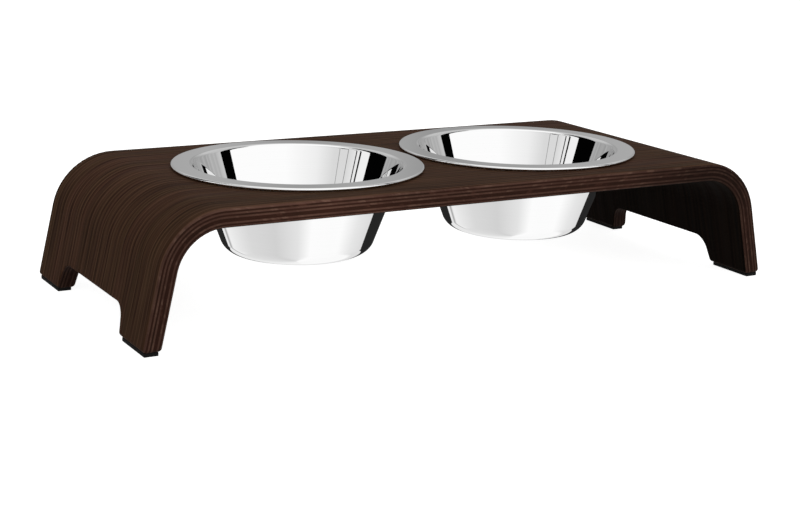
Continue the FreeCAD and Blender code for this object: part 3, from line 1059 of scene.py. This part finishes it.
@dataclass
class Studio:
    """Floor, rings of soft light and camera.

    Attributes:
        eye: Place of the camera.
        yaw: Turn of its view from +Y, in radians, anticlockwise from above.
        pitch: Downward tilt of its view, in radians.
        roll: Turn about its view, in radians.
        focal_pixels: Focal length in pixels of the picture.
        strength: Brightness of a white panel.
        floor_half_size: Half of the length of a side of the floor.
        floor_glow: Light that comes through the floor, which keeps shadows on it faint.
        board_drop: How far below the floor the bounce board lies.
        rings: The rings from the lowest to the highest.
        cards: What stands in front of the rings.
    """

    eye: tuple[float, float, float] = (-0.6546514, -1.1310248, 0.3469651)
    yaw: float = -0.5193
    pitch: float = 0.2451
    roll: float = -0.0268
    focal_pixels: float = 1634.7113
    strength: float = 1.25
    floor_half_size: float = 9.0
    floor_glow: float = 0.88
    board_drop: float = 1 * MM
    rings: tuple[LightRing, ...] = (
        # Below, where the rounded base corners of the bowls look.
        LightRing(
            -90.0,
            -89.0,
            (
                (-180.0, "#F4F4F4"),
                (180.0, "#FAFAFA"),
                (-130.0, "#E0E0E0"),
                (-80.0, "#DADADA"),
                (-35.0, "#D3D3D3"),
                (5.0, "#E5E5E5"),
                (28.0, "#FFFFFF"),
            ),
        ),
        # Towards the floor, where the outer walls of the bowls look.
        LightRing(
            -50.0,
            -45.0,
            (
                (-180.0, "#DCDCDC"),
                (180.0, "#DCDCDC"),
                (-134.0, "#EAEAEA"),
                (-130.5, "#EAEAEA"),
                (-126.5, "#9A9A9A"),
                (-122.0, "#F0F0F0"),
                (-80.0, "#DADADA"),
                (-35.0, "#D3D3D3"),
                (5.0, "#E5E5E5"),
                (28.0, "#FFFFFF"),
                (78.0, "#FFFFFF"),
                (104.0, "#E8E8E8"),
                (124.0, "#DEDEDE"),
            ),
        ),
        # At the height of the stand, where the inner walls and the flanges look.
        LightRing(
            -8.0,
            -4.0,
            (
                (-180.0, "#9A9A9A"),
                (180.0, "#9A9A9A"),
                (-95.0, "#A8A8A8"),
                (-90.0, "#F2F2F2"),
                (-78.0, "#F2F2F2"),
                (-60.0, "#DADADA"),
                (-42.0, "#DADADA"),
                (-20.0, "#F0F0F0"),
                (20.0, "#FFFFFF"),
                (98.0, "#FFFFFF"),
                (100.0, "#CACACA"),
                (118.0, "#B0B0B0"),
                (145.0, "#A0A0A0"),
            ),
            streaks=0.12,
        ),
        # Higher up, where the shoulders of the bowls look.
        LightRing(
            17.0,
            30.0,
            (
                (-180.0, "#C6C6C6"),
                (180.0, "#C6C6C6"),
                (-114.0, "#BEBEBE"),
                (-90.0, "#F2F2F2"),
                (-78.0, "#F2F2F2"),
                (-60.0, "#DADADA"),
                (-42.0, "#DADADA"),
                (-20.0, "#F0F0F0"),
                (20.0, "#FFFFFF"),
                (98.0, "#FFFFFF"),
                (106.0, "#BEBEBE"),
            ),
            streaks=0.12,
        ),
        # The ceiling.
        LightRing(60.0, 68.0, ((-180.0, "#FFFFFF"), (180.0, "#FFFFFF"))),
    )
    cards: tuple[DarkCard, ...] = (
        # Upright to either side, where the inner walls of the bowls show wide dark bars.
        DarkCard(96.7, 7.2, 8.0, 57.0),
        DarkCard(-102.0, 14.0, 8.0, 57.0),
        # Low behind the stand, where the outer walls of the bowls end in dark.
        DarkCard(-154.0, 19.0, -31.0, -6.0, "#252525"),
        DarkCard(150.0, 21.0, -35.0, -6.0, "#252525"),
        # Poles and a small flag at the left, which the inner walls show as thin lines.
        DarkCard(-47.5, 0.45, 8.0, 54.0, "#9C9C9C"),
        DarkCard(-58.5, 0.5, 8.0, 42.0, "#909090"),
        DarkCard(-56.0, 5.0, 29.0, 44.0),
        DarkCard(-69.5, 0.7, 8.0, 54.0, "#202020"),
        DarkCard(-75.0, 1.1, 8.0, 54.0),
    )

    def forward(self) -> Vector:
        """Direction that the camera looks in."""
        flat = math.cos(self.pitch)
        return Vector((math.sin(-self.yaw) * flat, math.cos(self.yaw) * flat, -math.sin(self.pitch)))

    def add_camera(self) -> None:
        """Set the camera at the photograph's viewpoint."""
        forward = self.forward()
        right = forward.cross(Vector((0, 0, 1))).normalized()
        down = forward.cross(right).normalized()
        across = math.cos(self.roll) * right + math.sin(self.roll) * down
        upward = math.sin(self.roll) * right - math.cos(self.roll) * down
        data = bpy.data.cameras.new("camera")
        data.sensor_fit = "HORIZONTAL"
        data.sensor_width = SENSOR_MM
        data.lens = self.focal_pixels * SENSOR_MM / IMAGE_WIDTH
        data.clip_start = 0.05
        camera = bpy.data.objects.new("camera", data)
        turn = Matrix((across, upward, -forward)).transposed()
        camera.matrix_world = Matrix.Translation(self.eye) @ turn.to_4x4()
        bpy.context.scene.collection.objects.link(camera)
        bpy.context.scene.camera = camera

    def lay_sheet(self, name: str, height: float, finish: OpalAcrylic) -> bpy.types.Object:
        """Lay one level sheet under the set, which polished steel looks past to the lower ring.

        Args:
            name: The sheet's name.
            height: Its height.
            finish: Its finish.

        Returns:
            The sheet.
        """
        shape = bmesh.new()
        bmesh.ops.create_grid(shape, x_segments=8, y_segments=8, size=self.floor_half_size)
        mesh = bpy.data.meshes.new(name)
        shape.to_mesh(mesh)
        shape.free()
        mesh.materials.append(finish.material())
        sheet = bpy.data.objects.new(name, mesh)
        sheet.location.z = height
        sheet.visible_glossy = False
        bpy.context.scene.collection.objects.link(sheet)
        return sheet

    def add_floor(self) -> None:
        """Lay the pale floor that shows, and below it the board that throws light back up."""
        lit = OpalAcrylic("opal_acrylic_lit", ground="#BCBCBB", glow=self.floor_glow)
        floor = self.lay_sheet("floor", 0.0, lit)
        floor.visible_diffuse = False
        floor.visible_shadow = False
        unlit = OpalAcrylic("opal_acrylic_unlit", ground="#B4B4B3", glow=0.0)
        board = self.lay_sheet("bounce_board", -self.board_drop, unlit)
        board.visible_camera = False

    def add_light(self) -> None:
        """Surround the set with the rings and the cards, as a world of soft light."""
        world = bpy.data.worlds.new("studio_light")
        bpy.context.scene.world = world
        world.use_nodes = True
        tree = world.node_tree
        tree.nodes.clear()
        forward = self.forward()
        towards = Vector((-forward.x, -forward.y, 0)).normalized()
        rightward = Vector((forward.y, -forward.x, 0)).normalized()
        direction = add_node(tree, "TexCoord").outputs["Generated"]
        near = add_node(tree, "VectorMath", {0: direction, 1: towards}, operation="DOT_PRODUCT")
        side = add_node(tree, "VectorMath", {0: direction, 1: rightward}, operation="DOT_PRODUCT")
        turn = add_node(
            tree, "Math", {0: side.outputs["Value"], 1: near.outputs["Value"]}, operation="ARCTAN2"
        )
        bearing = add_node(tree, "Math", {0: turn.outputs[0]}, operation="DEGREES").outputs[0]
        axes = add_node(tree, "SeparateXYZ", {0: direction})
        rise = add_node(tree, "Math", {0: axes.outputs["Z"]}, operation="ARCSINE")
        elevation = add_node(tree, "Math", {0: rise.outputs[0]}, operation="DEGREES").outputs[0]
        shade: bpy.types.NodeSocket | Colour = linear("#FFFFFF")
        for ring in self.rings:
            covered = add_node(
                tree, "MapRange", {"Value": elevation, "From Min": ring.start, "From Max": ring.full}
            )
            shade = add_node(
                tree,
                "Mix",
                {"Factor": covered.outputs["Result"], 6: shade, 7: ring.shade(tree, bearing)},
                data_type="RGBA",
            ).outputs[2]
        for card in self.cards:
            inside = add_node(
                tree, "Math", {0: bearing, 1: card.middle, 2: card.half_width}, operation="COMPARE"
            )
            level = (card.low + card.high) / 2
            within = add_node(
                tree, "Math", {0: elevation, 1: level, 2: card.high - level}, operation="COMPARE"
            )
            covered = add_node(
                tree, "Math", {0: inside.outputs[0], 1: within.outputs[0]}, operation="MULTIPLY"
            )
            shade = add_node(
                tree,
                "Mix",
                {"Factor": covered.outputs[0], 6: shade, 7: linear(card.tone)},
                data_type="RGBA",
            ).outputs[2]
        background = add_node(tree, "Background", {"Color": shade, "Strength": self.strength})
        add_node(tree, "OutputWorld", {"Surface": background.outputs[0]})


def main() -> None:
    """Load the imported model, dress it piece by piece and light it."""
    logging.basicConfig(level=logging.INFO, format="%(name)s: %(message)s")
    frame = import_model()
    # Wenge is nearly black when lacquered, with close paler lines that read as warm grey-brown.
    outer = WengeVeneer("wenge_veneer_satin_lacquered", dark="#2B1B12", middle="#412D20", light="#62493A")
    # The face below is wenge drawn far darker as painted shade, so that its lines hardly show.
    inner = WengeVeneer(
        "wenge_veneer_dark_stained",
        dark="#0B0705",
        middle="#140D09",
        light="#1E1510",
        sheen_level=0.02,
        lacquer_roughness=0.75,
    )
    cores = {
        # Pale plies keep unstained fibre ends, which read as broken pinkish lines along the edge.
        PlyTone.LIGHT: StainedPlyEdge(
            "beech_ply_stained_sanded", ground="#62463B", shade="#52382F", fleck="#6C5044", fleck_share=0.3
        ),
        # Dark plies soak up the stain, so that they read as deep red-brown bands.
        PlyTone.DARK: StainedPlyEdge(
            "beech_ply_stained_deep", ground="#3C231B", shade="#342018", fleck="#4A2E25", fleck_share=0.15
        ),
    }
    slots = {part["node"]: part["material_slot"] for part in frame["record"]["subparts"]}
    MouldedShell(outer, inner, cores).dress(frame["nodes"], slots)
    # Polished steel mirrors its surroundings almost untinted, a little warmer than silver.
    steel = PolishedSteel().material()
    for side in Side:
        bowl = Bowl(side)
        piece = bowl.build()
        bowl.dress(piece, steel)
        LOG.info("%s turned with %d faces", piece.name, len(piece.data.polygons))
    # Matt rubber swallows light, so that the pads read as thin black soles.
    rubber = PadRubber().material()
    for depth in ("front", "back"):
        for side in Side:
            pad = FootPad(f"foot_pad_{depth}_{side.name.lower()}")
            piece = pad.build()
            pad.dress(piece, rubber)
            LOG.info("%s cut", piece.name)
    studio = Studio()
    studio.add_floor()
    studio.add_light()
    studio.add_camera()
    bpy.context.scene.view_settings.view_transform = "Standard"


if __name__ == "__main__":
    main()
